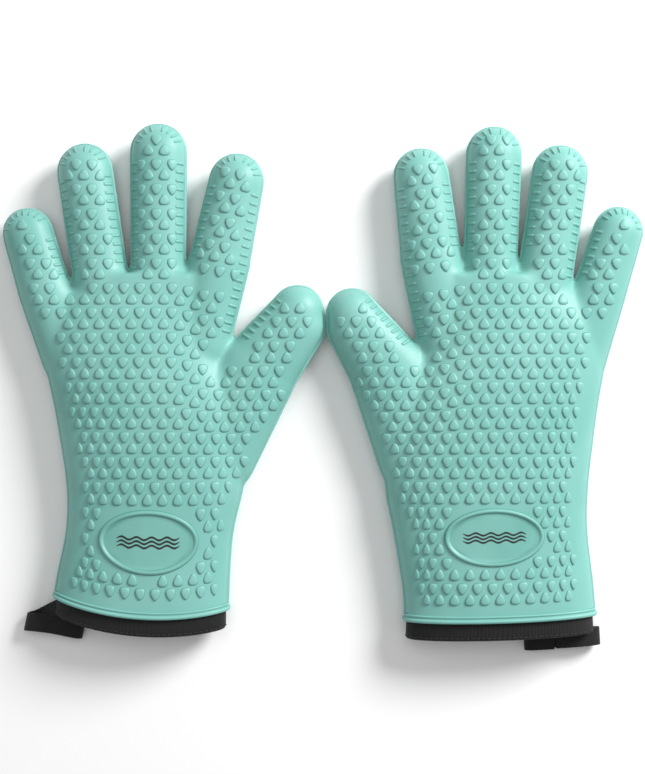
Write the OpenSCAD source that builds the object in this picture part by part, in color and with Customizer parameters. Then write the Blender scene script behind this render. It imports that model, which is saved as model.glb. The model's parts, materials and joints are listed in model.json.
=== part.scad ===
// Pair of heat resistant cooking gloves, laid side by side on a table with the palms up.
// Each glove is a moulded silicone shell over a quilted cotton liner, with a taped hem
// and a hanging loop.  The fingers bend at the knuckle and the loops swing on their tacks.
// X runs across the pair, Y towards the fingertips, Z up from the table.

/* [Silicone shell] */
// Wall of the moulded silicone
shell_wall = 2; // [1.6:0.2:2.4]
// Height of the parting line above the table
mid_z = 14; // [13.5:0.5:14.5]
// How far the bead round the cuff stands proud of the shell
bead_out = 1.4; // [0.8:0.2:2]
// Height of the bead along the glove
bead_h = 4.4; // [3:0.2:6]

/* [Liner] */
// Thickness of the quilted cotton liner
liner_wall = 3; // [2:0.5:3.5]
// Width of the black tape that binds the liner's hem
binding_w = 11.5; // [9:0.5:14]
// Thickness of that tape
binding_t = 1; // [0.8:0.1:1.2]

/* [Badge] */
// Length of the oval badge
badge_len = 62; // [50:1:70]
// Height of the oval badge
badge_h = 36; // [28:1:40]
// How far the badge's rim stands above the shell
badge_out = 1; // [0.6:0.2:1.6]

/* [Hanging loop] */
// Width of the loop's tape
loop_w = 11.5; // [10:0.5:13]
// Thickness of the loop's tape
loop_t = 1.6; // [1.2:0.2:1.8]
// Depth of the loop from strand to strand
loop_d = 9.6; // [9:0.2:10.4]

/* [Movement] */
// Furthest that a finger bends
bend_max = 60; // [45:5:70]
// Running gap between a finger and the palm at rest
knuckle_gap = 0.5; // [0.4:0.1:1]

/* [Hidden] */
$fn = 14;
FAR = 400;              // longer than the pair in any direction
TALL = 60;              // higher than either glove
REACH = 120;            // longer than any finger
GAP = 0.15;             // between pieces that lie against each other
edge_r = 14.6;          // half thickness at the rounded edges; the table flattens the underside
knuckle_z = mid_z;      // height of the finger hinges
liner_in = shell_wall + GAP;
hand_in = liner_in + liner_wall;
cut_slope = tan(bend_max / 2 + 1.5);
hem_in = liner_in - GAP - binding_t;      // outside face of the binding, inset from the shell's outside
tack_play = 0.35;                         // running gap round the tack that the loop swings on
tack_r = loop_d / 2 - loop_t - tack_play;
loop_lift = 0.3;                          // the loop's height above the table
side_play = 1.2;                          // how far a finger's cut runs past its sides
badge_rim = 3;                            // width of the badge's raised rim
badge_field = 0.1;                        // depth of the badge's field below the shell's surface

// A finger is [tip centre, tip radius, base centre, base radius, root centre, root radius,
// half thickness, distance of the hinge from the base centre].
// A station across the palm is [y, little finger side x, thumb side x, height of the crown].
// A hem is [centre x, half width, y of the chord at the centre, slope, sag].
// A loop is [hinge x, hinge y, turn about Z, signed length from the hinge].
// Both gloves are written as left gloves, and the right one is mirrored.
LEFT = [
    [   // little, ring, middle, index, thumb
        [[-188.5,  98.5], 16.6, [-177.5, 62], 17.8, [-160, 22], 21.5, 11.8, 16],
        [[-152.0, 138.0], 18.2, [-142.0, 71], 18.5, [-136, 40], 19.5, 12.6, 25],
        [[-105.0, 150.4], 18.6, [-105.0, 80], 18.2, [-105, 45], 19.5, 12.8, 16],
        [[ -55.0, 132.0], 17.9, [ -66.0, 80], 20.0, [ -76, 38], 20.8, 12.8, 16],
        [[ -15.9,  48.5], 17.3, [ -42.8,  8.6], 26.8, [ -70, -38], 33.0, 13.4, 21],
    ],
    [
        [-172, -173, -59, 33], [-135, -172.5, -60, 33], [-90, -163.5, -56, 33], [-62, -163.5, -46.5, 34],
        [ -10, -172, -44, 35], [18, -179, -50, 34], [48, -180, -55, 31], [67, -153, -58, 27.5],
    ],
    [-116, 57, -139.6, -0.064, 6],
    [-109.5, -93.5],
    [-160, -157.5, -12, -27],
];
RIGHT = [
    [
        [[-189.2,  99.5], 16.4, [-177.5, 62], 17.6, [-162, 22], 21.5, 11.8, 16],
        [[-152.0, 137.0], 18.3, [-142.5, 71], 18.2, [-137, 40], 19.5, 12.6, 25],
        [[-109.8, 149.0], 18.2, [-107.5, 80], 17.7, [-107, 45], 19.5, 12.8, 16],
        [[ -63.2, 135.0], 18.2, [ -69.6, 82], 20.1, [ -77, 38], 20.5, 12.8, 14],
        [[ -19.0,  46.5], 17.2, [ -43.6,  8.6], 26.6, [ -66, -38], 34.0, 13.4, 21],
    ],
    [
        [-172, -176, -50, 33], [-135, -174.5, -52.5, 33], [-90, -169, -45, 33], [-62, -170, -38.5, 34],
        [ -10, -176.5, -40, 35], [18, -182, -50, 34], [48, -181, -57, 31], [67, -153, -61, 27.5],
    ],
    [-112, 62, -147.2, -0.032, 1],
    [-108, -94],
    [-172, -163.3, -3, 36],
];

LITTLE = 0;
RING = 1;
MIDDLE = 2;
INDEX = 3;
THUMB = 4;

function fingers(glove) = glove[0];
function stations(glove) = glove[1];
function hem(glove) = glove[2];
function badge_at(glove) = glove[3];
function loop(glove) = glove[4];
function hem_y(glove, x) = let (h = hem(glove), u = (x - h[0]) / h[1])
    h[2] + h[3] * (x - h[0]) - h[4] * (1 - u * u);
function heading(finger) = let (d = finger[0] - finger[2]) atan2(d.y, d.x);
function knuckle(finger) = finger[2] + finger[7] * [cos(heading(finger)), sin(heading(finger))];

// Flattened ball: the building block of the fingers and of the palm's edges.
module blob(at, r, half, inset) {
    translate([at.x, at.y, mid_z]) scale([r - inset, r - inset, half - inset]) sphere(1);
}

// One finger: a hull from its root in the palm to its base, and one from there to the tip.
module finger_solid(finger, inset = 0) {
    base = finger[2];
    hull() {
        blob(finger[4], finger[5], finger[6] + 1, inset);
        blob(base, finger[3], finger[6], inset);
    }
    hull() {
        blob(base, finger[3], finger[6], inset);
        blob(finger[0], finger[1], finger[6], inset);
    }
}

// One station across the palm: two rounded edges and a crown between them.
module palm_station(s, inset) {
    r = min(edge_r, s[3] / 2 - 0.5);
    crown = s[3] / 2;
    for (x = [s[1] + edge_r, s[2] - edge_r])
        translate([x, s[0], mid_z]) sphere(edge_r - inset);
    translate([(s[1] + s[2]) / 2, s[0], crown])
        scale([(s[2] - s[1]) * 0.3, r - inset, crown - inset]) sphere(1);
}

module palm_solid(glove, inset = 0) {
    s = stations(glove);
    for (i = [0 : len(s) - 2])
        hull() {
            palm_station(s[i], inset);
            palm_station(s[i + 1], inset);
        }
}

module glove_solid(glove, inset = 0) {
    palm_solid(glove, inset);
    for (f = fingers(glove)) finger_solid(f, inset);
}

// The part of space between two curves that run parallel to the hem, and above the table.
module hem_band(glove, low, high) {
    h = hem(glove);
    wide = h[1] + 60;
    xs = [for (k = [-5 : 5]) h[0] + wide * k / 5];
    linear_extrude(height = TALL)
        polygon(concat([for (x = xs) [x, hem_y(glove, x) + low]],
            [for (k = [len(xs) - 1 : -1 : 0]) [xs[k], hem_y(glove, xs[k]) + high]]));
}

// Everything beyond a finger's hinge.  The cut leans back above the hinge, so that the
// finger can bend up through the whole of its range.
module beyond_knuckle(finger, gap) {
    lean = cut_slope * (TALL - knuckle_z);
    back = gap > 0 ? 1 : -1;
    translate([knuckle(finger).x, knuckle(finger).y, 0])
        rotate([0, 0, heading(finger)])
            rotate([90, 0, 0])
                linear_extrude(height = 2 * (finger[3] + side_play), center = true)
                    polygon([[gap, -1], [gap, knuckle_z], [gap + back * lean, TALL], [REACH, TALL], [REACH, -1]]);
}

module badge_prism(glove, grow = 0) {
    translate([badge_at(glove).x, badge_at(glove).y, mid_z])
        linear_extrude(height = TALL)
            scale([badge_len / 2 + grow, badge_h / 2 + grow]) circle(1, $fn = 36);
}

module palm_shell(glove) {
    color("mediumaquamarine")
        difference() {
            union() {
                intersection() {
                    glove_solid(glove);
                    hem_band(glove, 0, FAR);
                }
                intersection() {
                    palm_solid(glove, -bead_out);
                    hem_band(glove, 0, bead_h);
                }
            }
            glove_solid(glove, shell_wall);
            for (f = fingers(glove)) beyond_knuckle(f, -knuckle_gap / 2);
            difference() {
                badge_prism(glove, GAP);
                palm_solid(glove, shell_wall / 2);
            }
        }
}

module finger_shell(glove, i) {
    color("mediumaquamarine")
        intersection() {
            difference() {
                glove_solid(glove);
                glove_solid(glove, shell_wall);
            }
            beyond_knuckle(fingers(glove)[i], knuckle_gap / 2);
        }
}

module palm_liner(glove) {
    color("gray")
        difference() {
            intersection() {
                glove_solid(glove, liner_in);
                hem_band(glove, binding_t + GAP - binding_w, FAR);
            }
            glove_solid(glove, hand_in);
            for (f = fingers(glove)) beyond_knuckle(f, -knuckle_gap / 2);
        }
}

module finger_liner(glove, i) {
    color("gray")
        intersection() {
            difference() {
                glove_solid(glove, liner_in);
                glove_solid(glove, hand_in);
            }
            beyond_knuckle(fingers(glove)[i], knuckle_gap / 2);
        }
}

// An oval inlay that follows the shell, with a raised rim round a lower field.
module badge(glove) {
    color("lightseagreen")
        difference() {
            intersection() {
                palm_solid(glove, -badge_out);
                badge_prism(glove);
            }
            palm_solid(glove, shell_wall / 2 - GAP);
            difference() {
                badge_prism(glove, -badge_rim);
                palm_solid(glove, badge_field);
            }
        }
}

// Tape folded round the liner's hem, a U in section.
module binding(glove) {
    color("dimgray")
        difference() {
            intersection() {
                palm_solid(glove, hem_in);
                hem_band(glove, -binding_w, -GAP);
            }
            palm_solid(glove, hand_in + GAP + binding_t);
            difference() {
                intersection() {
                    palm_solid(glove, liner_in - GAP);
                    hem_band(glove, binding_t - binding_w, 1);
                }
                palm_solid(glove, hand_in + GAP);
            }
        }
}

// Puts its children at the loop's hinge, with X along the loop and Z along the tape's width.
module at_loop(glove) {
    l = loop(glove);
    translate([l[0], l[1], loop_d / 2 + loop_lift])
        rotate([0, 0, l[2]])
            rotate([90, 0, 0]) children();
}

module racetrack(r, len) {
    circle(r);
    translate([len, 0]) circle(r);
    translate([min(0, len), -r]) square([abs(len), 2 * r]);
}

// Tape sewn into a flat ring, which swings on its tack.
module hanging_loop(glove) {
    color("dimgray")
        at_loop(glove)
            linear_extrude(height = loop_w, center = true)
                difference() {
                    racetrack(loop_d / 2, loop(glove)[3]);
                    racetrack(loop_d / 2 - loop_t, loop(glove)[3]);
                }
}

// Rolled end of the tape, sewn to the binding, that the loop hangs from.
module loop_tack(glove) {
    sewn = 1.2;     // into the binding
    free = 0.5;     // past the loop
    color("black")
        at_loop(glove)
            translate([0, 0, -loop_w / 2 - sewn]) cylinder(r = tack_r, h = loop_w + sewn + free);
}

// Both gloves are modelled as left gloves, and this turns one into the right glove.
module right_hand() {
    mirror([1, 0, 0]) children();
}

palm_shell(LEFT);  // left_palm_shell
finger_shell(LEFT, LITTLE);  // left_little_shell
finger_shell(LEFT, RING);  // left_ring_shell
finger_shell(LEFT, MIDDLE);  // left_middle_shell
finger_shell(LEFT, INDEX);  // left_index_shell
finger_shell(LEFT, THUMB);  // left_thumb_shell
palm_liner(LEFT);  // left_palm_liner
finger_liner(LEFT, LITTLE);  // left_little_liner
finger_liner(LEFT, RING);  // left_ring_liner
finger_liner(LEFT, MIDDLE);  // left_middle_liner
finger_liner(LEFT, INDEX);  // left_index_liner
finger_liner(LEFT, THUMB);  // left_thumb_liner
badge(LEFT);  // left_badge
binding(LEFT);  // left_binding
loop_tack(LEFT);  // left_loop_tack
hanging_loop(LEFT);  // left_loop
right_hand() palm_shell(RIGHT);  // right_palm_shell
right_hand() finger_shell(RIGHT, LITTLE);  // right_little_shell
right_hand() finger_shell(RIGHT, RING);  // right_ring_shell
right_hand() finger_shell(RIGHT, MIDDLE);  // right_middle_shell
right_hand() finger_shell(RIGHT, INDEX);  // right_index_shell
right_hand() finger_shell(RIGHT, THUMB);  // right_thumb_shell
right_hand() palm_liner(RIGHT);  // right_palm_liner
right_hand() finger_liner(RIGHT, LITTLE);  // right_little_liner
right_hand() finger_liner(RIGHT, RING);  // right_ring_liner
right_hand() finger_liner(RIGHT, MIDDLE);  // right_middle_liner
right_hand() finger_liner(RIGHT, INDEX);  // right_index_liner
right_hand() finger_liner(RIGHT, THUMB);  // right_thumb_liner
right_hand() badge(RIGHT);  // right_badge
right_hand() binding(RIGHT);  // right_binding
right_hand() loop_tack(RIGHT);  // right_loop_tack
right_hand() hanging_loop(RIGHT);  // right_loop
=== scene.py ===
import json
import math

import bmesh
import bpy
import numpy
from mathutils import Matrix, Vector, noise
from mathutils.bvhtree import BVHTree


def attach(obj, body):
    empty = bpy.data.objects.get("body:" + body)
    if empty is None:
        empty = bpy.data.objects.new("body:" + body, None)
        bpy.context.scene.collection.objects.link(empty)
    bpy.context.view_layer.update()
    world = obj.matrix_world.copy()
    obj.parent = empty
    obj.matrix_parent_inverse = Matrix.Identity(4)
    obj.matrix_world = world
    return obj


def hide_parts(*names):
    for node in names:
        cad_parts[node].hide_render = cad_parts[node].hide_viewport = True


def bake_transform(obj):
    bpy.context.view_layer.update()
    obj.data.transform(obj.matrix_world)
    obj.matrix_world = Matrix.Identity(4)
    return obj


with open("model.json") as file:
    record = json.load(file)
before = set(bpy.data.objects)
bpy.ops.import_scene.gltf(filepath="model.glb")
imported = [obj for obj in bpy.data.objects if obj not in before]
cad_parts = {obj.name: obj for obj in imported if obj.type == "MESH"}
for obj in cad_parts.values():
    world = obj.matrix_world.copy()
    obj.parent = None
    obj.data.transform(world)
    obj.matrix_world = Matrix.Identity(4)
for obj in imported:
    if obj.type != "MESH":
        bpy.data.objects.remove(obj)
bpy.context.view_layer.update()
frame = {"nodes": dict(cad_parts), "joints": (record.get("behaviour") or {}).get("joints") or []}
joints = {j["name"]: j for j in frame["joints"]}
scene = bpy.context.scene
print("frame loaded:", len(frame["nodes"]), "nodes")

# Lengths are in millimetres until a piece is placed.  Both gloves are shaped as left gloves,
# and the right one is turned over in X when it is placed.
fingerNames = ["little", "ring", "middle", "index", "thumb"]

# A finger is [tip centre, tip radius, base centre, base radius, root centre, root radius,
# half thickness].  A station across the palm is [y, outer side x, thumb side x, crown height].
# hem is [centre x, half width, y, slope, sag], and back says how far before its hinge
# each finger starts to bend.
leftGlove = {
    "side": "left",
    "turn": 1,
    "fingers": [
        [(-188.5, 98.5), 16.6, (-177.5, 62), 17.8, (-160, 22), 21.5, 11.8],
        [(-152, 138), 18.2, (-142, 71), 18.5, (-136, 40), 19.5, 12.6],
        [(-105, 150.4), 18.6, (-105, 80), 18.2, (-105, 45), 19.5, 12.8],
        [(-55, 132), 17.9, (-66, 80), 20, (-79, 28.5), 20.3, 12.8],
        [(-15.9, 48.5), 17.3, (-42.8, 8.6), 26.6, (-71, -38), 32, 13.4],
    ],
    "stations": [
        (-172, -173, -59, 33), (-135, -172.5, -60, 33),
        (-90, -163.5, -57.5, 33), (-62, -163.5, -49, 34),
        (-10, -172, -48, 35), (18, -179, -66, 34),
        (48, -180, -69, 31), (67, -153, -66, 27.5),
    ],
    "hem": (-116, 57, -137.8, -0.075, 7.8),
    "cuffRows": 3,                     # how far up the last rows of studs are drawn
    "pad": ((-17.3, 39.2), 20),           # the ball of the thumb, below its tip
    "badge": (-109.5, -93.5),
    "columns": [-185, -145.7, -105, 2.5],
    "back": [15, 15, 15, 15, 14],
    "loop": [
        (-168, -141, 10.5), (-174, -143.5, 6.5), (-181, -147.2, 2.4), (-187, -150.2, 1.4),
        (-190.4, -151.2, 3.4), (-190.8, -151.4, 6.6), (-188, -151.2, 9), (-181, -151.9, 9.3),
        (-172, -153.2, 9.1), (-163, -155.1, 9), (-157.5, -156.2, 8.4), (-154.8, -156.6, 5.6),
        (-156.5, -156.5, 2.4), (-162, -156.1, 1.3), (-170, -155.3, 1.2),
    ],
    "loopAcross": (0.2079, 0.9781),
    "loopEnds": ((-161, -157.3), (-186, -152)),
}
rightGlove = {
    "side": "right",
    "turn": -1,
    "fingers": [
        [(-189.2, 99.5), 16.4, (-177.5, 62), 17.6, (-162, 22), 21.5, 11.8],
        [(-152, 137), 18.3, (-142.5, 71), 18.2, (-137, 40), 19.5, 12.6],
        [(-109.8, 149), 18.2, (-107.5, 80), 17.7, (-107, 45), 19.5, 12.8],
        [(-63.2, 135), 18.2, (-69.6, 82), 20.1, (-80, 32), 20.3, 12.8],
        [(-19, 46.5), 17.2, (-43.6, 8.6), 26.6, (-66, -38), 34, 13.4],
    ],
    "stations": [
        (-172, -176, -50, 33), (-135, -174.5, -52.5, 33),
        (-90, -169, -45, 33), (-62, -170, -38.5, 34),
        (-10, -176.5, -44, 35), (18, -182, -63, 34),
        (48, -181, -68, 31), (67, -153, -66, 27.5),
    ],
    "hem": (-112, 62, -147.2, -0.032, 1),
    "cuffRows": 0,
    "pad": ((-21.5, 38.4), 19.6),
    "badge": (-108, -94),
    "columns": [-186, -147, -106.8, 2.5],
    "back": [14.5, 13, 13.2, 15, 11],
    "loop": [
        (-150, -162.4, 9.4), (-160, -161.8, 9.5), (-171, -160.8, 9.6), (-176.4, -160.3, 8.2),
        (-178.4, -160.4, 5.2), (-176.6, -160.8, 2.2), (-170, -161.8, 1.3), (-158, -162.8, 1.2),
        (-146, -163.4, 1.2), (-136, -163.8, 1.4), (-131.6, -164, 3.4), (-131.2, -164, 6.4),
        (-134.5, -163.8, 8.6), (-142, -163.3, 9.2), (-149, -162.9, 9.3),
    ],
    "loopAcross": (0.0523, 0.9986),
    "loopEnds": ((-170, -163.2), (-140, -162)),
}
gloves = [leftGlove, rightGlove]


# the shape of the skin
skin = {
    "midZ": 14,          # height of the parting line
    "rest": 0.9,         # studs lift the skin off the table
    "topPower": 2.25,    # squareness of the palm's upper side
    "bottomPower": 3.2,  # and of its underside
    "flange": 1.2,       # width of the parting line's flange
    "voxel": 1.7,
    "smooth": 7,
    "wall": 2,
}


def smoothStep(t):
    t = max(0.0, min(1.0, t))
    return t * t * (3 - 2 * t)


def hemPull(glove, x, y):
    h = glove["hem"]
    u = max(-1.3, min(1.3, (x - h[0]) / h[1]))
    return smoothStep((-50 - y) / 85) * (h[3] * u * h[1] - h[4] * (1 - u * u))


def station(glove, y):
    rows = glove["stations"]
    ys = [r[0] for r in rows]
    found = [0, 0, 0]
    around = (-12, -8, -4, 0, 4, 8, 12)
    for k in range(3):
        column = [r[k + 1] for r in rows]
        found[k] = sum(float(numpy.interp(y + d, ys, column)) for d in around) / len(around)
    return found


def sectionPoint(glove, y, turn, out=0.0):
    # turn goes once round the cuff from 0 to 1, and out is the distance outside the skin
    outer, inner, crown = station(glove, y)
    outer += skin["flange"]
    inner -= skin["flange"]
    half = (inner - outer) / 2 + out
    a = turn * 2 * math.pi
    c, s = math.cos(a), math.sin(a)
    power = skin["topPower"] if s >= 0 else skin["bottomPower"]
    tall = (crown - skin["midZ"] if s >= 0 else skin["midZ"] - skin["rest"]) + out
    x = (outer + inner) / 2 + half * math.copysign(abs(c) ** (2 / power), c)
    z = skin["midZ"] + tall * math.copysign(abs(s) ** (2 / power), s)
    return Vector((x, y, z))


def sheetOf(bm, around, along, shape, uvSize=(1, 1), closed=True):
    # a grid whose first way runs round the piece and whose second way runs along it
    uv = bm.loops.layers.uv.verify()
    made = bmesh.ops.create_grid(bm, x_segments=around, y_segments=along, size=0.5)
    spots = {v: (v.co.x + 0.5, v.co.y + 0.5) for v in made["verts"]}
    faces = {f for v in made["verts"] for f in v.link_faces}
    for f in faces:
        for loop in f.loops:
            spot = spots[loop.vert]
            loop[uv].uv = (spot[0] * uvSize[0], spot[1] * uvSize[1])
    for v, spot in spots.items():
        v.co = shape(*spot)
    if closed:
        bmesh.ops.remove_doubles(bm, verts=made["verts"], dist=0.002)
    return made


def capsule(bm, a, ra, b, rb, half):
    a, b = Vector((*a, skin["midZ"])), Vector((*b, skin["midZ"]))
    along = (b - a).normalized()
    across = Vector((along.y, -along.x, 0))
    made = bmesh.ops.create_uvsphere(bm, u_segments=48, v_segments=28, radius=1)
    for v in made["verts"]:
        x, y, z = v.co
        centre, r = (b, rb) if z > -0.001 else (a, ra)
        v.co = centre + along * (z * r) + across * (x * r) + Vector((0, 0, y * half))


def wholeGlove(glove, inset, voxel):
    bm = bmesh.new()
    low, high = -168, 72 - inset * 1.3
    sheetOf(bm, 120, 60, lambda u, v: sectionPoint(glove, low + (high - low) * v, u, -inset))
    bmesh.ops.holes_fill(bm, edges=[e for e in bm.edges if e.is_boundary], sides=0)
    for tip, tipR, base, baseR, root, rootR, half in glove["fingers"]:
        less = inset + skin["flange"]
        capsule(bm, root, rootR - less, base, baseR - less, half + 0.4 - inset)
        capsule(bm, base, baseR - less, tip, tipR - less, half - inset)
        if tip == glove["fingers"][4][0]:
            pad, padR = glove["pad"]
            capsule(bm, base, baseR - less, pad, padR - less, half - inset)
            capsule(bm, pad, padR - less, tip, tipR - less, half - inset)
    bmesh.ops.recalc_face_normals(bm, faces=bm.faces)
    mesh = bpy.data.meshes.new("rough")
    bm.to_mesh(mesh)
    bm.free()
    rough = bpy.data.objects.new("rough", mesh)
    scene.collection.objects.link(rough)
    remesh = rough.modifiers.new("remesh", "REMESH")
    remesh.mode = "VOXEL"
    remesh.voxel_size = voxel
    fused = bmesh.new()
    fused.from_object(rough, bpy.context.evaluated_depsgraph_get())
    bpy.data.objects.remove(rough)
    bpy.data.meshes.remove(mesh)
    for step in range(skin["smooth"]):
        bmesh.ops.smooth_vert(
            fused, verts=fused.verts, factor=0.5, use_axis_x=True, use_axis_y=True, use_axis_z=True
        )
    return fused


def place(bm, glove, warp=True):
    for v in bm.verts:
        x, y, z = v.co
        if warp:
            y += hemPull(glove, x, y)
        v.co = (x * glove["turn"] / 1000, y / 1000, max(0.05, z) / 1000)
    if glove["turn"] < 0:
        bmesh.ops.reverse_faces(bm, faces=bm.faces)
    return bm


def addPiece(bm, name, material):
    for f in bm.faces:
        f.smooth = True
    mesh = bpy.data.meshes.new(name)
    bm.to_mesh(mesh)
    bm.free()
    piece = bpy.data.objects.new(name, mesh)
    scene.collection.objects.link(piece)
    mesh.materials.append(material)
    return piece


# where each finger's bend starts, and the cuts there
def findBend(glove, i):
    # start and end of a finger's bend, and its heading, in the placed frame
    joint = joints[f"{glove['side']}_{fingerNames[i]}_bend"]
    hinge = Vector(joint["pos_m"])
    axis = Vector(joint["axis"])
    along = Vector((-axis.y, axis.x, 0)).normalized()
    tip = glove["fingers"][i][0]
    if along.dot(Vector((tip[0] * glove["turn"] / 1000, tip[1] / 1000, hinge.z)) - hinge) < 0:
        along = -along
    start = hinge - along * glove["back"][i] / 1000
    return start, start + along * 0.030, along


for glove in gloves:
    glove["bends"] = [findBend(glove, i) for i in range(5)]


def fingerAt(glove, point):
    # which finger a placed point bends with, or None for the palm
    best, found = 1.0, None
    for i, finger in enumerate(glove["fingers"]):
        start, end, along = glove["bends"][i]
        gone = point - start
        if gone.dot(along) <= 0:
            continue
        aside = abs(gone.x * along.y - gone.y * along.x) * 1000
        share = aside / (finger[3] + 0.5)
        if share < best:
            best, found = share, i
    return found


def splitFaces(bm, glove):
    # cuts the placed mesh where each finger starts to bend, and gives each part its own bmesh
    for i in range(5):
        start, end, along = glove["bends"][i]
        reach = glove["fingers"][i][3] / 1000 + 0.001
        near = []
        for f in bm.faces:
            gone = f.calc_center_median() - start
            if abs(gone.dot(along)) < 0.006 and abs(gone.x * along.y - gone.y * along.x) < reach:
                near.append(f)
        geom = list({g for f in near for g in [f, *f.edges, *f.verts]})
        bmesh.ops.bisect_plane(bm, geom=geom, plane_co=start, plane_no=along, dist=1e-6)
    bm.faces.ensure_lookup_table()
    owner = [fingerAt(glove, f.calc_center_median()) for f in bm.faces]
    parts = {}
    for i in [None, 0, 1, 2, 3, 4]:
        part = bm.copy()
        part.faces.ensure_lookup_table()
        gone = [part.faces[k] for k in range(len(owner)) if owner[k] != i]
        bmesh.ops.delete(part, geom=gone, context="FACES")
        for e in part.edges:
            if e.is_boundary:
                e.smooth = False
        parts[i] = part
    bm.free()
    return parts


def carry(piece, glove, i):
    # a palm piece rides on the palm; a finger's piece only has its transform baked
    palm = f"{glove['side']}_palm"
    if i is None:
        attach(piece, palm)
    else:
        start, end, along = glove["bends"][i]
        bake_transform(piece)
        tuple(start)
        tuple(end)


def nameOf(glove, i):
    return f"{glove['side']}_{'palm' if i is None else fingerNames[i]}"


# materials
def newGroup(name, inputs, outputs):
    group = bpy.data.node_groups.new(name, "ShaderNodeTree")
    for label, kind, value in inputs:
        socket = group.interface.new_socket(label, in_out="INPUT", socket_type=kind)
        if value is not None:
            socket.default_value = value
    for label, kind in outputs:
        group.interface.new_socket(label, in_out="OUTPUT", socket_type=kind)
    return group, group.nodes.new("NodeGroupInput"), group.nodes.new("NodeGroupOutput")


def mathNode(tree, operation, a, b=None):
    made = tree.nodes.new("ShaderNodeMath")
    made.operation = operation
    for slot, value in zip(made.inputs, (a, b)):
        if isinstance(value, (int, float)):
            slot.default_value = value
        elif value is not None:
            tree.links.new(value, slot)
    return made.outputs[0]


def grainGroup():
    # a fine moulded or printed grain: a mask and the normal that it makes
    group, given, out = newGroup(
        "grain",
        [("Vector", "NodeSocketVector", None), ("Size", "NodeSocketFloat", 900.0),
         ("Depth", "NodeSocketFloat", 0.00003)],
        [("Mask", "NodeSocketFloat"), ("Normal", "NodeSocketVector")],
    )
    dots = group.nodes.new("ShaderNodeTexNoise")
    dots.inputs["Detail"].default_value = 3
    dots.inputs["Roughness"].default_value = 0.6
    bump = group.nodes.new("ShaderNodeBump")
    group.links.new(given.outputs["Vector"], dots.inputs["Vector"])
    group.links.new(given.outputs["Size"], dots.inputs["Scale"])
    group.links.new(dots.outputs["Fac"], bump.inputs["Height"])
    group.links.new(given.outputs["Depth"], bump.inputs["Distance"])
    group.links.new(dots.outputs["Fac"], out.inputs["Mask"])
    group.links.new(bump.outputs["Normal"], out.inputs["Normal"])
    return group


def weaveGroup():
    # threads that cross each other, on a UV map in metres
    group, given, out = newGroup(
        "weave",
        [("Vector", "NodeSocketVector", None), ("Pitch", "NodeSocketFloat", 0.0008),
         ("Slant", "NodeSocketFloat", 0.0), ("Depth", "NodeSocketFloat", 0.0002)],
        [("Mask", "NodeSocketFloat"), ("Normal", "NodeSocketVector")],
    )
    split = group.nodes.new("ShaderNodeSeparateXYZ")
    group.links.new(given.outputs["Vector"], split.inputs[0])
    u, v = split.outputs["X"], split.outputs["Y"]
    leaning = mathNode(group, "ADD", u, mathNode(group, "MULTIPLY", v, given.outputs["Slant"]))
    turn = mathNode(group, "DIVIDE", math.pi, given.outputs["Pitch"])
    warpWave = mathNode(group, "SINE", mathNode(group, "MULTIPLY", leaning, turn))
    weftWave = mathNode(group, "SINE", mathNode(group, "MULTIPLY", v, turn))
    crossed = mathNode(group, "MULTIPLY", warpWave, weftWave)
    ribs = mathNode(group, "MULTIPLY", mathNode(group, "ABSOLUTE", warpWave), 0.6)
    height = mathNode(group, "ADD", mathNode(group, "MULTIPLY", crossed, 0.5), ribs)
    bump = group.nodes.new("ShaderNodeBump")
    group.links.new(height, bump.inputs["Height"])
    group.links.new(given.outputs["Depth"], bump.inputs["Distance"])
    group.links.new(height, out.inputs["Mask"])
    group.links.new(bump.outputs["Normal"], out.inputs["Normal"])
    return group


grain, weave = grainGroup(), weaveGroup()


def newMaterial(name, roughness, specular=0.5):
    material = bpy.data.materials.new(name)
    material.use_nodes = True
    shader = material.node_tree.nodes["Principled BSDF"]
    shader.inputs["Roughness"].default_value = roughness
    shader.inputs["Specular IOR Level"].default_value = specular
    return material, material.node_tree, shader


def placeGroup(tree, group, vector, **values):
    made = tree.nodes.new("ShaderNodeGroup")
    made.node_tree = group
    tree.links.new(vector, made.inputs["Vector"])
    for label, value in values.items():
        made.inputs[label].default_value = value
    return made


def mixColours(tree, factor, a, b):
    made = tree.nodes.new("ShaderNodeMix")
    made.data_type = "RGBA"
    tree.links.new(factor, made.inputs["Factor"])
    for label, value in (("A", a), ("B", b)):
        socket = [s for s in made.inputs if s.name == label and s.type == "RGBA"][0]
        if isinstance(value, tuple):
            socket.default_value = (*value, 1)
        else:
            tree.links.new(value, socket)
    return [s for s in made.outputs if s.type == "RGBA"][0]


def spread(tree, value, low, high, toLow=0.0, toHigh=1.0):
    made = tree.nodes.new("ShaderNodeMapRange")
    tree.links.new(value, made.inputs["Value"])
    for label, number in (("From Min", low), ("From Max", high), ("To Min", toLow), ("To Max", toHigh)):
        made.inputs[label].default_value = number
    return made.outputs["Result"]


siliconeLook = {
    "shade": (0.165, 0.42, 0.372),    # where the skin is thick
    "tint": (0.2, 0.462, 0.415),    # its usual colour
    "paintedCreaseShade": (0.07, 0.25, 0.21),     # painted shade at the base of the studs and ribs
    "roughness": 0.46,
    "cloudSize": 26.0,
    "grainSize": 1400.0,
    "grainDepth": 0.00003,
}


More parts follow.
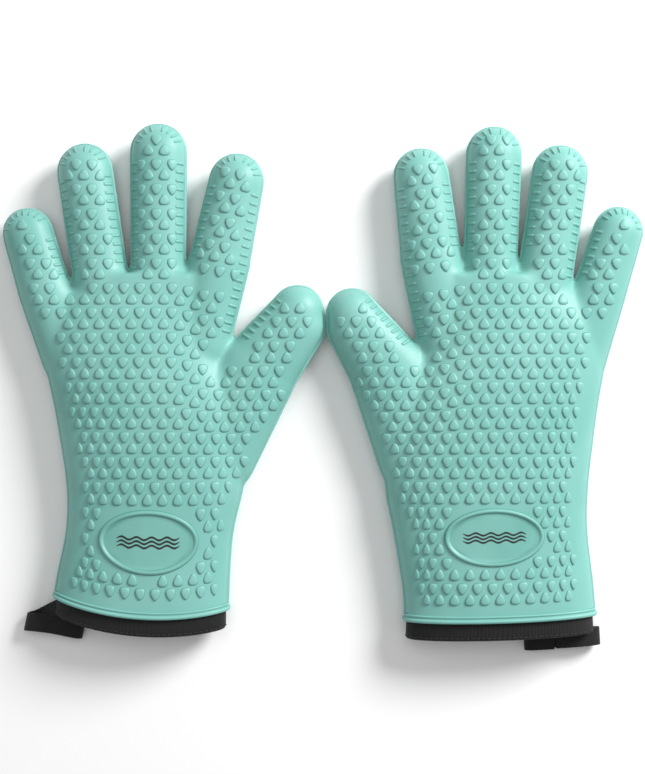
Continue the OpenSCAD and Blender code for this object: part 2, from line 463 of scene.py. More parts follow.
def siliconeMaterial(name, look):
    material, tree, shader = newMaterial(name, look["roughness"], 0.42)
    where = tree.nodes.new("ShaderNodeTexCoord").outputs["Object"]
    clouds = tree.nodes.new("ShaderNodeTexNoise")
    clouds.inputs["Scale"].default_value = look["cloudSize"]
    clouds.inputs["Detail"].default_value = 2
    tree.links.new(where, clouds.inputs["Vector"])
    cloudMask = spread(tree, clouds.outputs["Fac"], 0.3, 0.7)
    base = mixColours(tree, cloudMask, look["shade"], look["tint"])
    # painted shade: a vertex attribute darkens the colour where studs, ribs, the bead and the badge's rim
    # meet the skin
    paintedShadeAttribute = tree.nodes.new("ShaderNodeAttribute")
    paintedShadeAttribute.attribute_name = "paintedCreaseShade"
    colour = mixColours(tree, paintedShadeAttribute.outputs["Fac"], base, look["paintedCreaseShade"])
    tree.links.new(colour, shader.inputs["Base Color"])
    fine = placeGroup(tree, grain, where, Size=look["grainSize"], Depth=look["grainDepth"])
    low, high = look["roughness"] - 0.06, look["roughness"] + 0.08
    tree.links.new(spread(tree, fine.outputs["Mask"], 0.3, 0.7, low, high), shader.inputs["Roughness"])
    tree.links.new(fine.outputs["Normal"], shader.inputs["Normal"])
    return material


silicone = siliconeMaterial("mint_silicone", siliconeLook)
badgeLook = {**siliconeLook, "shade": (0.14, 0.385, 0.335), "roughness": 0.42}
badgeSilicone = siliconeMaterial("mint_badge", badgeLook)

clothLook = {
    "tape": {"dark": (0.004, 0.004, 0.0044), "light": (0.012, 0.012, 0.0125), "pitch": 0.0009, "slant": 1.0,
             "depth": 0.00025, "roughness": 0.82, "sheen": 0.06},
    "loop": {"dark": (0.004, 0.004, 0.0044), "light": (0.014, 0.014, 0.0145), "pitch": 0.0012, "slant": 0.6,
             "depth": 0.0003, "roughness": 0.78, "sheen": 0.06},
    "cotton": {"dark": (0.36, 0.36, 0.35), "light": (0.55, 0.55, 0.54), "pitch": 0.001, "slant": 0.0,
               "depth": 0.00015, "roughness": 0.92, "sheen": 0.35},
}


def clothMaterial(name, look, useUv=True):
    material, tree, shader = newMaterial(name, look["roughness"], 0.3)
    shader.inputs["Sheen Weight"].default_value = look["sheen"]
    shader.inputs["Sheen Roughness"].default_value = 0.5
    coord = tree.nodes.new("ShaderNodeTexCoord")
    where = coord.outputs["UV"] if useUv else coord.outputs["Object"]
    woven = placeGroup(tree, weave, where, Pitch=look["pitch"], Slant=look["slant"], Depth=look["depth"])
    fuzz = placeGroup(tree, grain, coord.outputs["Object"], Size=700.0, Depth=0.00005)
    hairs = mathNode(tree, "MULTIPLY", fuzz.outputs["Mask"], 0.5)
    height = mathNode(tree, "ADD", woven.outputs["Mask"], hairs)
    colour = mixColours(tree, spread(tree, height, -0.2, 1.1), look["dark"], look["light"])
    tree.links.new(colour, shader.inputs["Base Color"])
    tree.links.new(woven.outputs["Normal"], shader.inputs["Normal"])
    return material


hemTape = clothMaterial("black_hem_tape", clothLook["tape"])
loopTape = clothMaterial("black_loop_tape", clothLook["loop"])
cotton = clothMaterial("grey_cotton", clothLook["cotton"], useUv=False)

threadLook = {"dark": (0.012, 0.012, 0.013), "light": (0.035, 0.035, 0.037), "roughness": 0.65}
inkLook = {"dark": (0.008, 0.008, 0.009), "light": (0.022, 0.022, 0.024), "roughness": 0.5}


def plainMaterial(name, look, size, depth):
    material, tree, shader = newMaterial(name, look["roughness"], 0.4)
    where = tree.nodes.new("ShaderNodeTexCoord").outputs["Object"]
    fine = placeGroup(tree, grain, where, Size=size, Depth=depth)
    colour = mixColours(tree, spread(tree, fine.outputs["Mask"], 0.3, 0.7), look["dark"], look["light"])
    tree.links.new(colour, shader.inputs["Base Color"])
    tree.links.new(fine.outputs["Normal"], shader.inputs["Normal"])
    return material


thread = plainMaterial("black_thread", threadLook, 2600.0, 0.0001)
ink = plainMaterial("matt_ink", inkLook, 1800.0, 0.00002)
print("materials made")

# studs and ribs
stud = {
    "width": 6.8, "height": 7.4, "lift": 1.0, "pitch": 10.1,
    "pair": 15.65,       # from one row of points down to the next
    "step": 6.6,         # from a row of points down to the row of points up below it
    "clear": 6.6,        # studs nearer than this are left out
    "edge": 8.4, "outerEdge": 13, "thumbEdge": 5.4,
}
palmRow = 62.2       # y of a row of points down
indexRow = 2.5       # how far past the index finger's tip centre such a row is
palmField = {
    "reach": 106,            # how far the rows run to each side
    "top": 74,               # no rows above this
    "cuffGap": 8.9,          # between the cuff's rim and the last row
    "badge": (34.6, 21.2),   # half axes of the bare patch round the badge
}
thumbField = {
    "from": -62, "below": -32, "right": -62,    # where a stud counts as on the thumb
    "past": 2.5,                                # beyond the tip's centre
    "aside": 9.5, "asideFrom": -48,             # the bare strip under the ribs
}


def templateStud(pointUp):
    bm = bmesh.new()
    made = bmesh.ops.create_circle(bm, cap_ends=True, segments=12, radius=1)
    ring = sorted(made["verts"], key=lambda v: math.atan2(v.co.x, v.co.y) % (2 * math.pi))
    halfW, halfH = stud["width"] / 2, stud["height"] / 2
    outline = [(0, 1), (0.42, 0.72), (0.8, 0.2), (1, -0.3), (0.92, -0.74), (0.52, -0.98),
               (0, -1), (-0.52, -0.98), (-0.92, -0.74), (-1, -0.3), (-0.8, 0.2), (-0.42, 0.72)]
    for v, (x, y) in zip(ring, outline):
        v.co = (x * halfW * 1.1, (y if pointUp else -y) * halfH * 1.1, -0.1)
    face = bm.faces[:]
    for grow, up in ((0.91, 0.12), (0.86, stud["lift"] * 0.8), (0.76, stud["lift"] * 0.2)):
        made = bmesh.ops.extrude_face_region(bm, geom=face)
        bmesh.ops.delete(bm, geom=face, context="FACES_ONLY")
        verts = [g for g in made["geom"] if isinstance(g, bmesh.types.BMVert)]
        face = [g for g in made["geom"] if isinstance(g, bmesh.types.BMFace)]
        bmesh.ops.scale(bm, vec=(grow, grow, 1), verts=verts)
        bmesh.ops.translate(bm, vec=(0, 0, up), verts=verts)
    bmesh.ops.poke(bm, faces=face)
    bmesh.ops.recalc_face_normals(bm, faces=bm.faces)
    mesh = bpy.data.meshes.new("stud")
    bm.to_mesh(mesh)
    bm.free()
    return mesh


rib = {
    "pitch": 5.5, "thumbPitch": 5.0, "width": 2.2, "lift": 0.75,
    "low": 17, "high": 50,             # degrees up from the parting line
    "tipFrom": 0.42, "tipTo": 1.5,     # how far they fan round the fingertips
}


def templateRib():
    bm = bmesh.new()
    bmesh.ops.create_grid(bm, x_segments=3, y_segments=7, size=1)
    for v in bm.verts:
        edge = abs(v.co.x) > 0.9 or abs(v.co.y) > 0.9
        v.co.x *= rib["width"] * (0.62 if edge else 0.75)
        v.co.z = -0.3 if edge else rib["lift"]
    mesh = bpy.data.meshes.new("rib")
    bm.to_mesh(mesh)
    bm.free()
    return mesh


class Grip:
    # gathers copies of the small templates, by the part of the glove that they bend with
    def __init__(self, glove):
        self.glove = glove
        self.parts = {i: [] for i in [None, 0, 1, 2, 3, 4]}
        self.centres = []

    def add(self, template, spots, centre):
        glove = self.glove
        x, y, z = centre
        y += hemPull(glove, x, y)
        placed = Vector((x * glove["turn"] / 1000, y / 1000, z / 1000))
        self.parts[fingerAt(glove, placed)].append((template, spots))

    def build(self, i):
        bm = bmesh.new()
        paintedCreaseShade = bm.verts.layers.float.new("paintedCreaseShade")
        spots = []
        for template, found in self.parts[i]:
            bm.from_mesh(template)
            spots.extend(found)
        for v, (spot, height) in zip(bm.verts, spots):
            v.co = spot
            # painted shade on the lowest rings of each stud and rib, where they meet the skin
            v[paintedCreaseShade] = 1.0 if height < 0.1 else 0.0
        return bm


def inside(glove, x, y, leave=None):
    # how far a spot is inside the glove's outline, and inside the palm's outer edge
    outer, inner, crown = station(glove, y)
    found = -99.0
    if -175 < y < 67:
        found = min(x - outer, inner - x)
    for i, (tip, tipR, base, baseR, root, rootR, half) in enumerate(glove["fingers"]):
        if i == leave:
            continue
        for a, ra, b, rb in ((root, rootR, base, baseR), (base, baseR, tip, tipR)):
            span = (b[0] - a[0], b[1] - a[1])
            t = ((x - a[0]) * span[0] + (y - a[1]) * span[1]) / (span[0] ** 2 + span[1] ** 2)
            t = max(0, min(1, t))
            gone = math.hypot(x - a[0] - t * span[0], y - a[1] - t * span[1])
            found = max(found, ra + (rb - ra) * t - gone)
    return found, x - outer


def noSag(x, y):
    return 0.0


def thumbSag(x, y):
    # the palm's rows dip towards the thumb
    return -5.5 * smoothStep((x + 97) / 30) * smoothStep((y + 50) / 62)


def noStretch(w, t):
    return 1.0


def wristStretch(w, t):
    # the wrist is rounder than the palm, so its columns stand closer
    low = smoothStep((5 - t) / 50)
    outer = 0.36 * smoothStep((-w - 22) / 30) * smoothStep((25 - t) / 40)
    inner = 0.6 * smoothStep((w - 30) / 22) * smoothStep((-50 - t) / 40)
    return 1 + 0.06 * low + outer + inner


class Field:
    # rows of studs that run across a heading, with their pitch measured over the surface
    def __init__(self, tree, origin, along, side, reach, sag=noSag, stretch=noStretch):
        self.tree, self.origin, self.along, self.side, self.reach = tree, origin, along, side, reach
        self.across = Vector((along.y, -along.x, 0))
        self.sag, self.stretch = sag, stretch
        self.rows = {}

    def drop(self, point):
        start = Vector((point.x, point.y, 70 * self.side))
        return self.tree.ray_cast(start, Vector((0, 0, -self.side)))

    def row(self, t):
        key = round(t, 2)
        if key not in self.rows:
            wide = numpy.arange(-self.reach, self.reach + 0.5, 1.25)
            tall = []
            for w in wide:
                spot, normal, face, gone = self.drop(self.origin + self.along * t + self.across * float(w))
                tall.append(spot.z if spot else None)
            steps = [0.0]
            for k in range(1, len(wide)):
                dw = wide[k] - wide[k - 1]
                rise = 0 if tall[k] is None or tall[k - 1] is None else tall[k] - tall[k - 1]
                run = math.hypot(dw, max(-dw, min(dw, rise)))
                steps.append(steps[-1] + run * self.stretch(float(wide[k]), t))
            steps = numpy.array(steps)
            self.rows[key] = (wide, steps - numpy.interp(0, wide, steps))
        return self.rows[key]

    def spot(self, t, s, stepT=0.0, stepS=0.0):
        # the mapping of a stud's middle serves all of it, so that it keeps its shape
        wide, steps = self.row(t)
        w = float(numpy.interp(s, steps, wide))
        reach = float(numpy.interp(s + 2, steps, wide)) - float(numpy.interp(s - 2, steps, wide))
        middle = self.origin + self.along * t + self.across * w
        point = middle + self.along * stepT + self.across * stepS * reach / 4
        point.y += self.sag(middle.x, middle.y)
        return self.drop(point), w


def addStud(grip, field, template, t, s, fits):
    (spot, normal, face, gone), w = field.spot(t, s)
    if spot is None or not fits(spot, w, t):
        return
    if any((spot - c).length < stud["clear"] for c in grip.centres):
        return
    spots = []
    for v in template.vertices:
        (place, up, face, gone), w = field.spot(t, s, v.co.y, v.co.x)
        if place is None or (place - spot).length > 8:
            return
        spots.append((place + up * v.co.z, v.co.z))
    grip.centres.append(spot)
    grip.add(template, spots, spot)


def thumbSpot(glove, spot):
    # how far a spot is past the thumb's tip centre, and off its axis towards the index finger
    tip, base = Vector((*glove["fingers"][4][0], 0)), Vector((*glove["fingers"][4][2], 0))
    heading = (tip - base).normalized()
    gone = Vector((spot.x, spot.y, 0)) - tip
    return gone.dot(heading), gone.y * heading.x - gone.x * heading.y


def palmStuds(grip, tree, glove, templates, side):
    badgeX, badgeY = glove["badge"]
    middle = glove["columns"][2]

    def sag(x, y):
        return thumbSag(x, y) + glove["cuffRows"] * smoothStep((-95 - y) / 35)

    up = Vector((0, 1, 0))
    field = Field(tree, Vector((middle, 0, 0)), up, side, palmField["reach"], sag, wristStretch)
    cuff = glove["hem"][2] + palmField["cuffGap"]
    bareX, bareY = palmField["badge"]

    def fits(spot, w, t):
        if t < cuff or t > palmField["top"]:
            return False
        deep, fromOuter = inside(glove, spot.x, spot.y)
        past, aside = thumbSpot(glove, spot)
        zone = thumbField
        onThumb = past > zone["from"] and aside > zone["below"] and spot.x > zone["right"]
        underRibs = aside > zone["aside"] and past > zone["asideFrom"]
        if onThumb and (past > zone["past"] or underRibs):
            return False
        if deep < stud["thumbEdge" if onThumb and aside < 0 else "edge"]:
            return False
        if fromOuter < stud["outerEdge"] and t < 40:
            return False
        return side < 0 or math.hypot((spot.x - badgeX) / bareX, (spot.y - badgeY) / bareY) > 1

    top = palmRow
    for k in range(14):
        for pointUp, shift in ((False, 0), (True, stud["step"])):
            t = top - k * stud["pair"] - shift
            for m in range(-12, 17):
                s = (m + (0.5 if pointUp else 0)) * stud["pitch"]
                addStud(grip, field, templates[pointUp], t, s, fits)


def fingerStuds(grip, tree, glove, templates, side, i):
    # the index finger's rows follow its own heading, and the other fingers keep to the palm's
    tip, tipR, base, baseR, root, rootR, half = glove["fingers"][i]
    origin, end = Vector((*base, 0)), Vector((*tip, 0))
    span = (end - origin).length
    heading = (end - origin).normalized()
    across = Vector((heading.y, -heading.x, 0))
    if i == 3:
        field = Field(tree, origin, heading, side, baseR + 1)
        top, offset = span + indexRow, glove["columns"][3]
    else:
        field = Field(tree, Vector((glove["columns"][i], 0, 0)), Vector((0, 1, 0)), side, 21)
        top, offset = palmRow + 6 * stud["pair"], 0

    def fits(spot, w, t):
        gone = Vector((spot.x, spot.y, 0)) - origin
        far, aside = gone.dot(heading), gone.dot(across)
        if far < -9 or far > span + 8:
            return False
        r = baseR + (tipR - baseR) * min(1, far / span)
        if far > span:
            r = math.sqrt(max(0.01, r * r - (far - span) ** 2)) - 1.6
        if i == 0 and aside < 0:
            r -= 3.2
        return abs(aside) < r - (7.1 if i == 2 else 7.7)

    for k in range(9):
        for pointUp, shift in ((False, 0), (True, stud["step"] - 0.4)):
            t = top - k * stud["pair"] - shift
            for m in range(-3, 4):
                s = (m + (0.5 if pointUp else 0)) * stud["pitch"] + offset
                addStud(grip, field, templates[pointUp], t, s, fits)


def fingerRibs(grip, tree, glove, template, i):
    tip, tipR, base, baseR, root, rootR, half = glove["fingers"][i]
    origin, end = Vector((*base, skin["midZ"])), Vector((*tip, skin["midZ"]))
    span = (end - origin).length
    along = (end - origin).normalized()
    across = Vector((along.y, -along.x, 0))
    back = (Vector((*root, skin["midZ"])) - origin).normalized()
    pitch = rib["thumbPitch"] if i == 4 else rib["pitch"]
    first = -9 if i == 3 else -3
    places = [(t * pitch + 1.5, 0.0) for t in range(first, int(span / pitch) + (i == 4))]
    step = pitch / tipR
    turned = rib["tipFrom"]
    while turned < rib["tipTo"]:
        places.append((span, turned))
        turned += step
    for way in (-1, 1):
        if i == 4 and way > 0:
            continue
        for t, lean in places:
            if i == 0 and way < 0 and lean == 0 or i == 4 and lean > 0:
                continue
            r = baseR + (tipR - baseR) * max(0, min(1, t / span))
            outward = (across * way * math.cos(lean) + along * math.sin(lean)).normalized()
            forward = Vector((-outward.y, outward.x, 0)) * way
            centre = origin + along * t
            if t < -12:
                centre, r = origin + back * -t, baseR + (rootR - baseR) * -t / 50
                if way < 0:
                    continue
            edge = centre + outward * r
            if inside(glove, edge.x, edge.y, leave=i)[0] > -0.8:
                continue
            for side in (-1, 1):
                spots = []
                for v in template.vertices:
                    share = (v.co.y + 1) / 2
                    a = math.radians(rib["low"] + (rib["high"] - rib["low"]) * share)
                    ray = outward * math.cos(a) * r + Vector((0, 0, side * math.sin(a) * half))
                    start = centre + forward * v.co.x * (1 if lean == 0 else math.cos(a) * 0.9)
                    spot, normal, face, gone = tree.ray_cast(start, ray.normalized())
                    if spot is None:
                        break
                    spots.append((spot + normal * v.co.z, v.co.z))
                if len(spots) == len(template.vertices):
                    grip.add(template, spots, spots[len(spots) // 2][0])


def flangeStrip(fused):
    # the thin flange that the two halves of the mould leave round the glove
    bm = fused.copy()
    outward = bm.verts.layers.float_vector.new("outward")
    cut = bmesh.ops.bisect_plane(
        bm, geom=bm.verts[:] + bm.edges[:] + bm.faces[:], dist=1e-4,
        plane_co=(0, 0, skin["midZ"]), plane_no=(0, 0, 1),
    )["geom_cut"]
    bm.normal_update()
    rim = {g for g in cut if isinstance(g, bmesh.types.BMVert)}
    for v in rim:
        v[outward] = Vector((v.normal.x, v.normal.y, 0)).normalized()
    bmesh.ops.delete(bm, geom=[v for v in bm.verts if v not in rim], context="VERTS")
    bmesh.ops.delete(bm, geom=bm.faces[:], context="FACES_ONLY")
    width = skin["flange"]
    lines = [(-1.2, 1.1), (0, 0.85), (width * 0.75, 0.55), (width, 0.2)]
    lines += [(out, -up) for out, up in reversed(lines)]
    edges = bm.edges[:]
    for v in bm.verts:
        v.co += v[outward] * lines[0][0] + Vector((0, 0, lines[0][1]))
    for (out, up), (nextOut, nextUp) in zip(lines, lines[1:]):
        made = bmesh.ops.extrude_edge_only(bm, edges=edges)["geom"]
        edges = [g for g in made if isinstance(g, bmesh.types.BMEdge)]
        for v in {v for e in edges for v in e.verts}:
            v.co += v[outward] * (nextOut - out) + Vector((0, 0, nextUp - up))
    bmesh.ops.recalc_face_normals(bm, faces=bm.faces)
    return bm


print("templates ready")


# each piece
def buildSkin(glove, fused):
    parts = splitFaces(place(fused.copy(), glove), glove)
    for i, bm in parts.items():
        piece = addPiece(bm, nameOf(glove, i) + "_skin", silicone)
        wall = piece.modifiers.new("wall", "SOLIDIFY")
        wall.thickness = skin["wall"] / 1000
        wall.offset = -1
        wall.use_even_offset = False
        carry(piece, glove, i)
        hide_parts(nameOf(glove, i) + "_shell")


def buildGrip(glove, fused, tree, studs, ribMesh):
    grip = Grip(glove)
    for side in (1, -1):
        palmStuds(grip, tree, glove, studs, side)
        for i in range(4):
            fingerStuds(grip, tree, glove, studs, side, i)
    for i in range(5):
        fingerRibs(grip, tree, glove, ribMesh, i)
    flanges = splitFaces(place(flangeStrip(fused), glove), glove)
    for i in [None, 0, 1, 2, 3, 4]:
        bm = place(grip.build(i), glove)
        flange = bpy.data.meshes.new("flange")
        flanges[i].to_mesh(flange)
        flanges[i].free()
        bm.from_mesh(flange)
        piece = addPiece(bm, nameOf(glove, i) + "_grip", silicone)
        carry(piece, glove, i)
    print(glove["side"], "studs:", len(grip.centres))


lining = {
    "out": 2.2,          # from the skin's outside to the lining's outside
    "wall": 3.0,
    "voxel": 2.6,
    "quilt": 21.0,       # across a diamond of the quilting
    "puff": 0.9,
    "fill": 0.35,
}


def buildLining(glove):
    fused = wholeGlove(glove, lining["out"] + lining["wall"], lining["voxel"])
    fused.normal_update()
    turn = math.pi / lining["quilt"]
    for v in fused.verts:
        x, y, z = v.co
        diamond = abs(math.sin((x + y) * turn)) * abs(math.sin((x - y) * turn))
        v.co -= v.normal * lining["puff"] * math.sqrt(diamond)
    lip = glove["hem"][2] - 10.2
    bmesh.ops.bisect_plane(
        fused, geom=fused.verts[:] + fused.edges[:] + fused.faces[:], dist=1e-4,
        plane_co=(0, lip, 0), plane_no=(0, -1, 0), clear_outer=True,
    )
    parts = splitFaces(place(fused, glove), glove)
    for i, bm in parts.items():
        piece = addPiece(bm, nameOf(glove, i) + "_lining", cotton)
        wall = piece.modifiers.new("wall", "SOLIDIFY")
        wall.thickness = lining["wall"] / 1000
        wall.offset = 1
        carry(piece, glove, i)
        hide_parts(nameOf(glove, i) + "_liner")


def ringOf(glove, profile, around=220, wave=None):
    # a band round the cuff: profile is a list of (y above the hem, distance outside the skin)
    bm = bmesh.new()
    hem = glove["hem"][2]
    steps = [0.0]
    for a, b in zip(profile, profile[1:]):
        steps.append(steps[-1] + math.hypot(b[0] - a[0], b[1] - a[1]))
    count = len(profile) - 1

    def shape(u, v):
        k = min(count, int(round(v * count)))
        up, out = profile[k]
        if wave:
            out += wave(u, up)
        spot = sectionPoint(glove, hem + up, u, out)
        spot.y = hem + up
        return spot

    made = sheetOf(bm, around, count, shape, (0.30, steps[-1] / 1000))
    return bm


bead = {
    "profile": [
        (-0.1, -1.9), (-0.3, 0.3), (-0.1, 1.3), (0.5, 1.9), (1.4, 2.0), (2.1, 1.6), (2.5, 0.8), (2.9, 0.55),
                (3.3, 0.9), (3.8, 1.15), (4.3, 1.0), (4.7, 0.4), (4.9, -0.3)],
}


def buildBead(glove):
    bm = ringOf(glove, bead["profile"])
    paintedCreaseShade = bm.verts.layers.float.new("paintedCreaseShade")
    # painted shade in the bead's groove and along the edge where it sinks into the skin
    for v in bm.verts:
        up = v.co.y - glove["hem"][2]
        v[paintedCreaseShade] = max(0.0, 0.8 - abs(up - 2.8) * 1.6, 0.8 - abs(up - 4.9) * 1.6)
    bmesh.ops.recalc_face_normals(bm, faces=bm.faces)
    piece = addPiece(place(bm, glove), glove["side"] + "_cuff_bead", silicone)
    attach(piece, glove["side"] + "_palm")


hemBand = {
    "width": 11.5, "out": -0.95, "thick": 1.0, "in": -6.3, "tuck": 2.5,
    "ripple": 0.22,
}


def hemProfile():
    low, high = -hemBand["width"], hemBand["tuck"]
    out, inner, t = hemBand["out"], hemBand["in"], hemBand["thick"]
    return [
        (high, out), (high * 0.4, out), (-1.5, out - 0.02), (-4, out), (-7, out + 0.02),
        (-9.3, out), (low + 1.2, out - 0.2), (low + 0.35, out - 0.8), (low, out - 1.7),
        (low, (out + inner) / 2), (low, inner + 1.7), (low + 0.35, inner + 0.8),
        (low + 1.2, inner + 0.2), (-9.3, inner), (-6, inner), (-3, inner), (high, inner),
        (high, inner + t), (-6, inner + t),
        (low + 2, inner + t + 0.1), (low + 1.3, (out + inner) / 2), (low + 2, out - t - 0.1), (-6, out - t),
        (high, out - t), (high, out),
    ]


def buildHem(glove):
    def wave(u, up):
        if up > -0.5:
            return 0.0
        a = u * 2 * math.pi
        return hemBand["ripple"] * noise.noise(Vector((math.cos(a) * 9, math.sin(a) * 9, up * 0.12)))

    bm = ringOf(glove, hemProfile(), 260, wave)
    bmesh.ops.remove_doubles(bm, verts=bm.verts, dist=0.01)
    bmesh.ops.recalc_face_normals(bm, faces=bm.faces)
    piece = addPiece(place(bm, glove), glove["side"] + "_hem_tape", hemTape)
    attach(piece, glove["side"] + "_palm")
    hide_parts(glove["side"] + "_binding")


stitch = {"length": 2.5, "pitch": 3.3, "thick": 0.55, "up": -9.6}


def buildStitches(glove):
    bm = bmesh.new()
    level = glove["hem"][2] + stitch["up"]
    around = [sectionPoint(glove, level, k / 720, hemBand["out"]) for k in range(721)]
    steps = [0.0]
    for a, b in zip(around, around[1:]):
        steps.append(steps[-1] + (b - a).length)
    count = int(steps[-1] / stitch["pitch"])
    for k in range(count):
        middle = steps[-1] * (k + 0.5) / count
        u = float(numpy.interp(middle, steps, [n / 720 for n in range(721)]))
        spot = sectionPoint(glove, glove["hem"][2] + stitch["up"], u, hemBand["out"] + 0.1)
        ahead = sectionPoint(glove, glove["hem"][2] + stitch["up"], u + 0.002, hemBand["out"] + 0.1)
        along = (ahead - spot).normalized()
        outward = Vector((along.z, 0, -along.x))
        spot.y = glove["hem"][2] + stitch["up"]
        made = bmesh.ops.create_uvsphere(bm, u_segments=6, v_segments=6, radius=0.5)
        for v in made["verts"]:
            x, y, z = v.co
            v.co = spot + along * z * stitch["length"]
            v.co += (Vector((0, 1, 0)) * y + outward * x) * stitch["thick"]
    bmesh.ops.recalc_face_normals(bm, faces=bm.faces)
    piece = addPiece(place(bm, glove), glove["side"] + "_hem_stitches", thread)
    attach(piece, glove["side"] + "_palm")


badge = {
    "length": 62.5, "height": 35.6,
    "rim": [
        (0.6, -0.5), (0.15, 0.5), (-0.35, 1.1), (-1.1, 1.45),
        (-1.8, 1.35), (-2.4, 0.9), (-2.8, 0.4), (-3.4, 0.22),
    ],
    "waves": 3, "waveLength": 9.5, "waveTall": 0.8, "waveGap": 2.25, "line": 1.15, "print": 40,
}


def onPalm(tree, x, y, lift):
    spot, normal, face, gone = tree.ray_cast(Vector((x, y, 70)), Vector((0, 0, -1)))
    return spot + normal * lift


def buildBadge(glove, tree):
    atX, atY = glove["badge"]
    profile = badge["rim"] + [(-5, 0.22), (-8, 0.2), (-12, 0.2), (-16, 0.2), (-18, 0.2)]
    bm = bmesh.new()
    count = len(profile) - 1
    halfW, halfH = badge["length"] / 2, badge["height"] / 2

    def shape(u, v):
        out, up = profile[int(round(v * count))]
        a = u * 2 * math.pi
        if out < -3.4:
            wide, tall = (halfW - 3.4) * (18 + out) / 14.6, (halfH - 3.4) * (18 + out) / 14.6
        else:
            wide, tall = halfW + out, halfH + out
        return onPalm(tree, atX + wide * math.cos(a), atY + tall * math.sin(a), up)

    sheetOf(bm, 128, count, shape)
    paintedCreaseShade = bm.verts.layers.float.new("paintedCreaseShade")
    # painted shade on the outer wall of the badge's rim and in the hollow just inside it
    for v in bm.verts:
        share = math.hypot((v.co.x - atX) / halfW, (v.co.y - atY) / halfH)
        v[paintedCreaseShade] = 0.9 if share > 1 else max(0.0, 0.75 - abs(share - 0.86) * 16)
    bmesh.ops.recalc_face_normals(bm, faces=bm.faces)

    def off(f):
        spot = f.calc_center_median()
        return abs(spot.x - atX) + abs(spot.y - atY)

    middle = min(bm.faces, key=off)
    if middle.normal.z < 0:
        bmesh.ops.reverse_faces(bm, faces=bm.faces)
    piece = addPiece(place(bm, glove), glove["side"] + "_badge_relief", badgeSilicone)
    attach(piece, glove["side"] + "_palm")
    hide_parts(glove["side"] + "_badge")

    bm = bmesh.new()
    for k in range(badge["waves"]):
        middleY = atY + (k - (badge["waves"] - 1) / 2) * badge["waveGap"]

        def line(u, v):
            x = (u - 0.5) * badge["print"]
            taper = min(1, (0.5 - abs(u - 0.5)) * 12) ** 0.5
            y = badge["waveTall"] * math.sin(x / badge["waveLength"] * 2 * math.pi)
            return onPalm(tree, atX + x, middleY + y + (v - 0.5) * badge["line"] * taper, 0.3)

        sheetOf(bm, 90, 2, line, closed=False)
    bmesh.ops.recalc_face_normals(bm, faces=bm.faces)
    for f in bm.faces:
        if f.normal.z < 0:
            f.normal_flip()
    piece = addPiece(place(bm, glove), glove["side"] + "_badge_print", ink)
    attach(piece, glove["side"] + "_palm")


loopTapeSize = {"width": 11.6, "thick": 1.5, "bevel": 0.35}


def buildLoop(glove):
    path = [Vector(p) for p in glove["loop"]]
    across = Vector((*glove["loopAcross"], 0)).normalized()
    curve = []
    for k in range(len(path) - 1):
        before, a = path[max(0, k - 1)], path[k]
        b, after = path[k + 1], path[min(len(path) - 1, k + 2)]
        for n in range(8):
            t = n / 8
            curve.append(0.5 * (2 * a + (b - before) * t + (2 * before - 5 * a + 4 * b - after) * t * t
                                + (3 * a - before - 3 * b + after) * t ** 3))
    curve.append(path[-1])
    total = sum((b - a).length for a, b in zip(curve, curve[1:]))
    bm = bmesh.new()

    def shape(u, v):
        spot = curve[int(round(u * (len(curve) - 1)))]
        return spot + across * (v - 0.5) * loopTapeSize["width"]

    sheetOf(bm, len(curve) - 1, 8, shape, (total / 1000, loopTapeSize["width"] / 1000), closed=False)
    piece = addPiece(place(bm, glove, warp=False), glove["side"] + "_hanging_tape", loopTape)
    wall = piece.modifiers.new("thickness", "SOLIDIFY")
    wall.thickness = loopTapeSize["thick"] / 1000
    wall.offset = 0
    edge = piece.modifiers.new("edges", "BEVEL")
    edge.width = loopTapeSize["bevel"] / 1000
    edge.segments = 2
    start, end = (Vector((x * glove["turn"] / 1000, y / 1000, 0.0051)) for x, y in glove["loopEnds"])
    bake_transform(piece)
    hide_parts(glove["side"] + "_loop", glove["side"] + "_loop_tack")


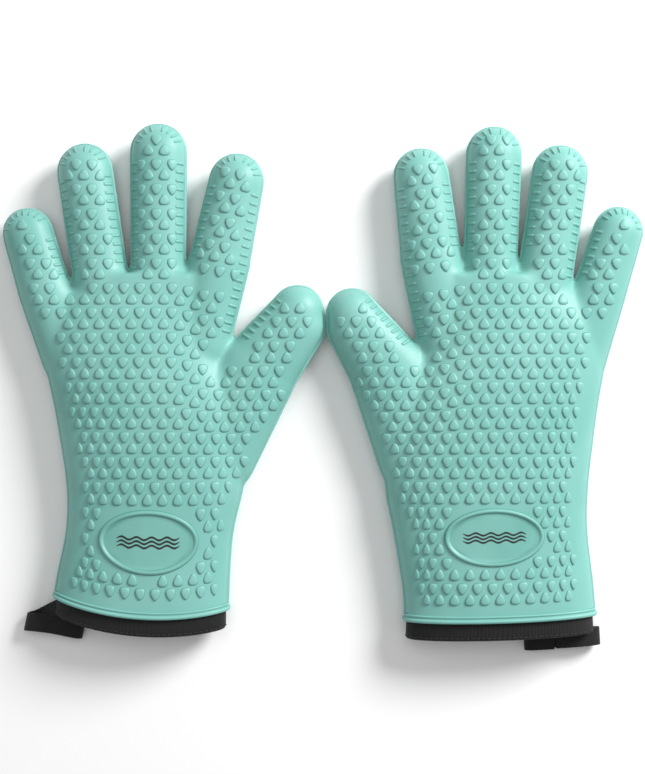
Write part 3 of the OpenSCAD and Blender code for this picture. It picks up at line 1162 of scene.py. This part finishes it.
studs = {False: templateStud(False), True: templateStud(True)}
ribMesh = templateRib()
for glove in gloves:
    fused = wholeGlove(glove, 0, skin["voxel"])
    tree = BVHTree.FromBMesh(fused)
    cut = fused.copy()
    bmesh.ops.bisect_plane(
        cut, geom=cut.verts[:] + cut.edges[:] + cut.faces[:], dist=1e-4,
        plane_co=(0, glove["hem"][2], 0), plane_no=(0, -1, 0), clear_outer=True,
    )
    buildSkin(glove, cut)
    buildGrip(glove, cut, tree, studs, ribMesh)
    cut.free()
    fused.free()
    print(glove["side"], "skin and grip made")
    buildLining(glove)
    buildBead(glove)
    buildHem(glove)
    buildStitches(glove)
    buildBadge(glove, tree)
    buildLoop(glove)
    print(glove["side"], "glove finished")
for mesh in [*studs.values(), ribMesh]:
    bpy.data.meshes.remove(mesh)

# floor, light and camera
studio = {
    "floor": (0.93, 0.93, 0.93),
    "key": (1.2, 1.0, 0.95, 0.8, 46.0),     # x, y, z, size, power
    "fill": (-0.1, 0.25, 1.3, 1.0, 4.5),
    "world": 0.36,
    "lens": 68.0,
    "eye": 0.95,
}

bm = bmesh.new()
bmesh.ops.create_grid(bm, x_segments=1, y_segments=1, size=3)
bmesh.ops.translate(bm, vec=(0, 0, -0.0006), verts=bm.verts)
floorMaterial, _, floorShader = newMaterial("pale_floor", 0.9, 0.1)
floorShader.inputs["Base Color"].default_value = (*studio["floor"], 1)
floor = addPiece(bm, "floor", floorMaterial)

for name in ("key", "fill"):
    x, y, z, size, power = studio[name]
    lamp = bpy.data.lights.new(name, "AREA")
    lamp.shape = "DISK"
    lamp.size = size
    lamp.energy = power
    light = bpy.data.objects.new(name, lamp)
    scene.collection.objects.link(light)
    light.location = (x, y, z)
    light.rotation_euler = (-Vector((x, y, z))).to_track_quat("-Z", "Y").to_euler()

world = bpy.data.worlds.new("studio")
world.use_nodes = True
world.node_tree.nodes["Background"].inputs["Color"].default_value = (1, 1, 1, 1)
world.node_tree.nodes["Background"].inputs["Strength"].default_value = studio["world"]
scene.world = world
scene.view_settings.view_transform = "Standard"

lens = bpy.data.cameras.new("camera")
lens.lens = studio["lens"]
lens.sensor_width = 36
camera = bpy.data.objects.new("camera", lens)
scene.collection.objects.link(camera)
camera.location = (0, 0, studio["eye"])
scene.camera = camera

print("scene ready")
